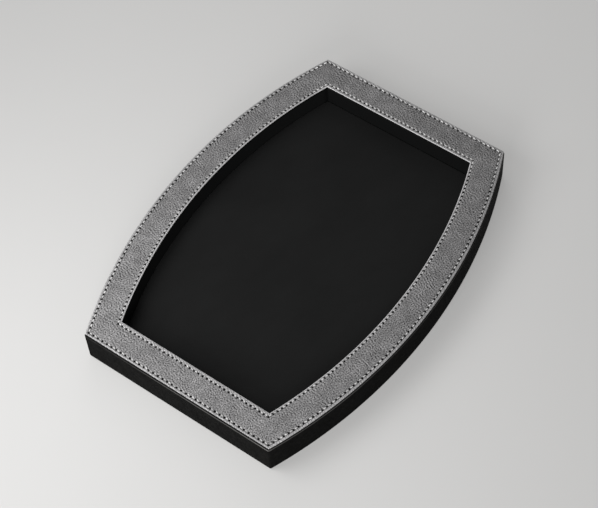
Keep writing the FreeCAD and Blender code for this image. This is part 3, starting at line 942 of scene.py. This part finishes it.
def pad_cover_piece(finish):
    """The padded floor's cloth: a crowned top with rolled edges, sides, and a hem turned in below.

    From the pole inside, rings go out under the top, down inside the sides and in along the hem; then out
    along the hem's underside, up the sides, round the roll and in to the pole on top. The top's height
    falls from the crown to the roll by a bell of the distance from the edge, with a ripple of three long
    waves.
    """
    roll_in, roll_down = fold(PAD_ROLL, PAD_ROLL_STEPS)
    middle_in = PAD_TOP_RINGS[-1]
    inset = PAD_EDGE + np.concatenate([
        [middle_in, PAD_ROLL, PAD_CLOTH, PAD_CLOTH, PAD_TURN_IN],
        [PAD_TURN_IN, 0.5 * PAD_TURN_IN, PAD_HEM_ROUND, 0],
        roll_in, PAD_TOP_RINGS, np.full(len(PAD_SHRINK), middle_in),
    ])
    shrink = np.ones(len(inset))
    shrink[0] = PAD_SHRINK[1]
    shrink[-len(PAD_SHRINK):] = PAD_SHRINK
    crown_fall = PAD_CROWN * bell(np.append(roll_in, PAD_TOP_RINGS), PAD_CROWN_REACH)
    down = np.append(roll_down, np.zeros(len(PAD_TOP_RINGS))) + crown_fall
    hem_top = PAD_FOOT + PAD_CLOTH
    level = np.concatenate([
        [PAD_TOP - PAD_CLOTH, PAD_TOP - PAD_CLOTH - PAD_CROWN, PAD_TOP - PAD_ROLL - PAD_CLOTH],
        [hem_top, hem_top, PAD_FOOT, PAD_FOOT, PAD_FOOT, PAD_FOOT + PAD_HEM_ROUND],
        PAD_TOP - down, np.full(len(PAD_SHRINK), PAD_TOP),
    ])
    plan = barrel_rings(inset, inset, INNER_CORNER, even_columns(*PAD_COLUMNS))
    plan = plan * shrink[:, None, None]
    x, y = plan[..., 0], plan[..., 1]
    waves = np.mean([np.sin(by_x * x + by_y * y + start) for by_x, by_y, start in PAD_WAVES], 0)
    on_top = np.arange(len(level)) >= len(level) - len(PAD_SHRINK) - len(PAD_TOP_RINGS)
    heights = level[:, None] + np.where(on_top[:, None], PAD_RIPPLE * (waves - 1), 0)
    piece = make_shell("padded_floor", plan, heights, finish, keep_crisp=60, closed=False)
    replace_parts(piece, "pad_cover")


def slab_piece(name, node, edge, foot, top, soften, finish):
    """A flat soft slab in the barrel's outline with softened edges: out under it, up its side and in over
    it."""
    inset = edge + np.concatenate([SLAB_RINGS, [soften, 0, 0, soften], SLAB_RINGS[::-1]])
    level = np.array([foot, foot, foot, foot + soften, top - soften, top, top, top])
    plan = barrel_rings(inset, inset, INNER_CORNER, even_columns(*SLAB_COLUMNS))
    piece = make_shell(name, plan, level[:, None], finish, keep_crisp=60, closed=False)
    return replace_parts(piece, node)


def foam_piece(finish):
    """The foam in the pad, a slab pressed down a little by the cloth."""
    top = FOAM_TOP - FOAM_PRESSED
    piece = slab_piece("floor_foam", "pad_foam", FOAM_EDGE, FOAM_FOOT, top, FOAM_ROUND, finish)


def felt_piece(finish):
    """The felt that the tray stands on, a thin slab laid under the base board."""
    piece = slab_piece("foot_felt", "bottom_felt", FELT_EDGE, FELT_FOOT, FELT_TOP, FELT_ROUND, finish)


def finish_cores(finish, nodes):
    """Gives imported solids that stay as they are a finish."""
    for node in nodes:
        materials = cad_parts[node].data.materials
        materials.clear()
        materials.append(finish)


frame_cover_piece(frame_leatherette())
thread = sewing_thread()
thread_piece("outer_thread", "outer_stitching", ROWS["outer"], thread)
thread_piece("inner_thread", "inner_stitching", ROWS["inner"], thread)
outer_wrap_piece(wall_leatherette())
inner_lining_piece(wall_microfibre())
pad_cover_piece(floor_microfibre())
foam_piece(pad_foam_grey())
felt_piece(foot_felt())
finish_cores(wood_fibreboard(), [*RAILS, "base_board"])
finish_cores(wood_beech(), ["corner_splines"])
finish_cores(grey_card(), ["frame_board", "pad_board"])

# Stage: a plain pale floor, soft lamps and an even surround

FLOOR_HALF = 3.0
FLOOR_DROP = 0.05 * MM
FLOOR_COLOUR = (0.34, 0.338, 0.334)
FLOOR_BOUNCE = 0.38
FLOOR_GLOW = 0.3


def stage_floor():
    """A pale level square just under the tray. To the eye and in reflections a little glow makes it
    paler and more even; as a source of bounced light it is darker, so that the tray's walls keep their
    own depth of colour."""
    made = Finish("stage_floor", roughness=0.8, specular=0.2)
    rays = made.node("ShaderNodeLightPath").outputs
    mirrored = made.maths("ADD", rays["Is Glossy Ray"], rays["Is Transmission Ray"])
    seen = made.maths("ADD", rays["Is Camera Ray"], mirrored)
    tone = made.times(made.by(made.clouds(40 * MM), 0.99, 1.01), made.by(seen, FLOOR_BOUNCE, 1.0))
    glow = made.by(seen, 0.0, FLOOR_GLOW / FLOOR_COLOUR[0])
    made.shader.inputs["Emission Color"].default_value = (*FLOOR_COLOUR, 1.0)
    made.tree.links.new(glow, made.shader.inputs["Emission Strength"])
    corners = np.array([(-1, -1, 0), (1, -1, 0), (1, 1, 0), (-1, 1, 0)]) * FLOOR_HALF
    mesh = bpy.data.meshes.new("stage_floor")
    mesh.from_pydata((corners - (0, 0, FLOOR_DROP)).tolist(), [], [(0, 1, 2, 3)])
    mesh.materials.append(made.done(made.tint(FLOOR_COLOUR, tone)))
    floor = bpy.data.objects.new("stage_floor", mesh)
    bpy.context.scene.collection.objects.link(floor)


def lamp(name, place, aim, size, power):
    """A square soft lamp at a place, turned to face the aim."""
    data = bpy.data.lights.new(name, "AREA")
    data.size = size
    data.energy = power
    made = bpy.data.objects.new(name, data)
    facing = (Vector(aim) - Vector(place)).to_track_quat("-Z", "Y")
    made.matrix_world = Matrix.Translation(place) @ facing.to_matrix().to_4x4()
    made.visible_camera = False
    bpy.context.scene.collection.objects.link(made)


def surround(level):
    """An even grey world of a level."""
    world = bpy.data.worlds.new("surround")
    world.use_nodes = True
    background = world.node_tree.nodes["Background"].inputs
    background["Color"].default_value = (1, 1, 1, 1)
    background["Strength"].default_value = level
    bpy.context.scene.world = world


stage_floor()
lamp("key_lamp", place=(-0.26, 0.17, 0.38), aim=(-0.05, 0.02, 0.02), size=0.3, power=1.6)
lamp("side_lamp", place=(-0.8, -0.24, 0.42), aim=(0.0, 0.0, 0.02), size=0.35, power=4.4)
lamp("fill_lamp", place=(0.8, 0.6, 0.55), aim=(0.0, 0.0, 0.02), size=0.8, power=2.3)
lamp("top_lamp", place=(0.2, 0.4, 1.05), aim=(0.0, 0.0, 0.0), size=0.9, power=1.5)
surround(level=0.15)

# Camera: the view that fits the tray's outline
VIEW_AZIMUTH = -50.686
VIEW_ELEVATION = 56.811
VIEW_ROLL = -4.54
VIEW_DISTANCE = 1292.5 * MM
VIEW_AIM = Vector((4.828, 6.125, 0)) * MM
IMAGE_WIDTH = 598
FOCAL_PIXELS = 1742.2
SENSOR_WIDTH = 36.0


def view_camera():
    """A camera at a distance from the aim, back along the view's azimuth and elevation, rolled about its
    own axis."""
    azimuth, elevation, roll = (math.radians(a) for a in (VIEW_AZIMUTH, VIEW_ELEVATION, VIEW_ROLL))
    away = math.cos(elevation)
    back = Vector((math.sin(azimuth) * away, -math.cos(azimuth) * away, math.sin(elevation)))
    level = (-back).cross(Vector((0, 0, 1))).normalized()
    upright = level.cross(-back)
    right = level * math.cos(roll) + upright * math.sin(roll)
    up = upright * math.cos(roll) - level * math.sin(roll)
    data = bpy.data.cameras.new("view_camera")
    data.sensor_width = SENSOR_WIDTH
    data.lens = SENSOR_WIDTH * FOCAL_PIXELS / IMAGE_WIDTH
    made = bpy.data.objects.new("view_camera", data)
    turned = Matrix((right, up, back)).transposed().to_4x4()
    made.matrix_world = Matrix.Translation(VIEW_AIM + back * VIEW_DISTANCE) @ turned
    bpy.context.scene.collection.objects.link(made)
    bpy.context.scene.camera = made


view_camera()
bpy.context.scene.view_settings.view_transform = "Standard"
